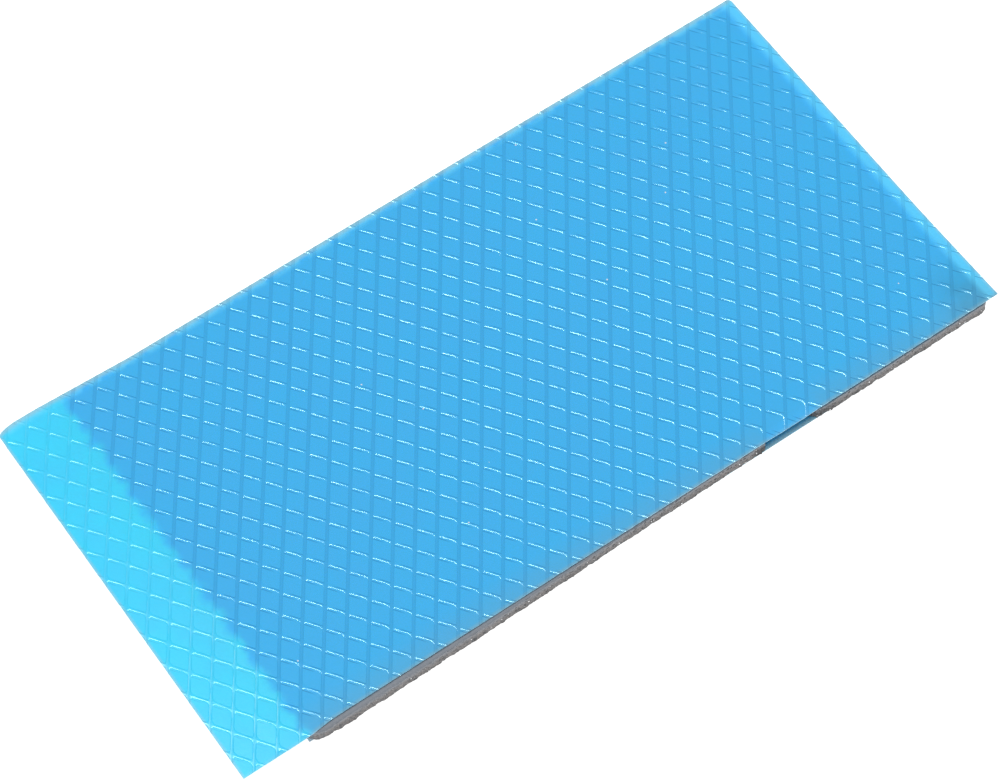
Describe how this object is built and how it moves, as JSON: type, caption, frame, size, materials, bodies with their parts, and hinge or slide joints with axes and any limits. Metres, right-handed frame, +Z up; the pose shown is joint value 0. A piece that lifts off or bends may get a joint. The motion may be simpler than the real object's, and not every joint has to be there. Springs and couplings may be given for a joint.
{
  "type": "thermal pad sheet",
  "caption": "Flat rectangular sheet: a soft grey filled silicone pad under a blue diamond-embossed release film with a bare pull tab at one end, on a thin smooth base film.",
  "frame": {"origin": "under the middle of the cover film's outline, on the base film's underside, which is the level that the sheet lies on", "axes": "+X along the sheet's long side, away from the film's bare pull tab; +Y across it, away from the side where the pad bulges past the films; +Z up, out of the embossed cover film"},
  "size_m": [0.1, 0.0506, 0.0023],
  "materials": {
    "embossed_blue_film": "translucent blue polyethylene film, satin, with a fine diamond emboss",
    "filled_silicone": "mid grey mineral-filled silicone gel, matt, with small glints and pits on its cut side",
    "smooth_base_film": "thin smooth pale blue translucent film, glossy"
  },
  "bodies": {
    "root": {"embossed_cover_film": "embossed_blue_film", "silicone_pad": "filled_silicone", "base_liner": "smooth_base_film"}
  },
  "joints": []
}
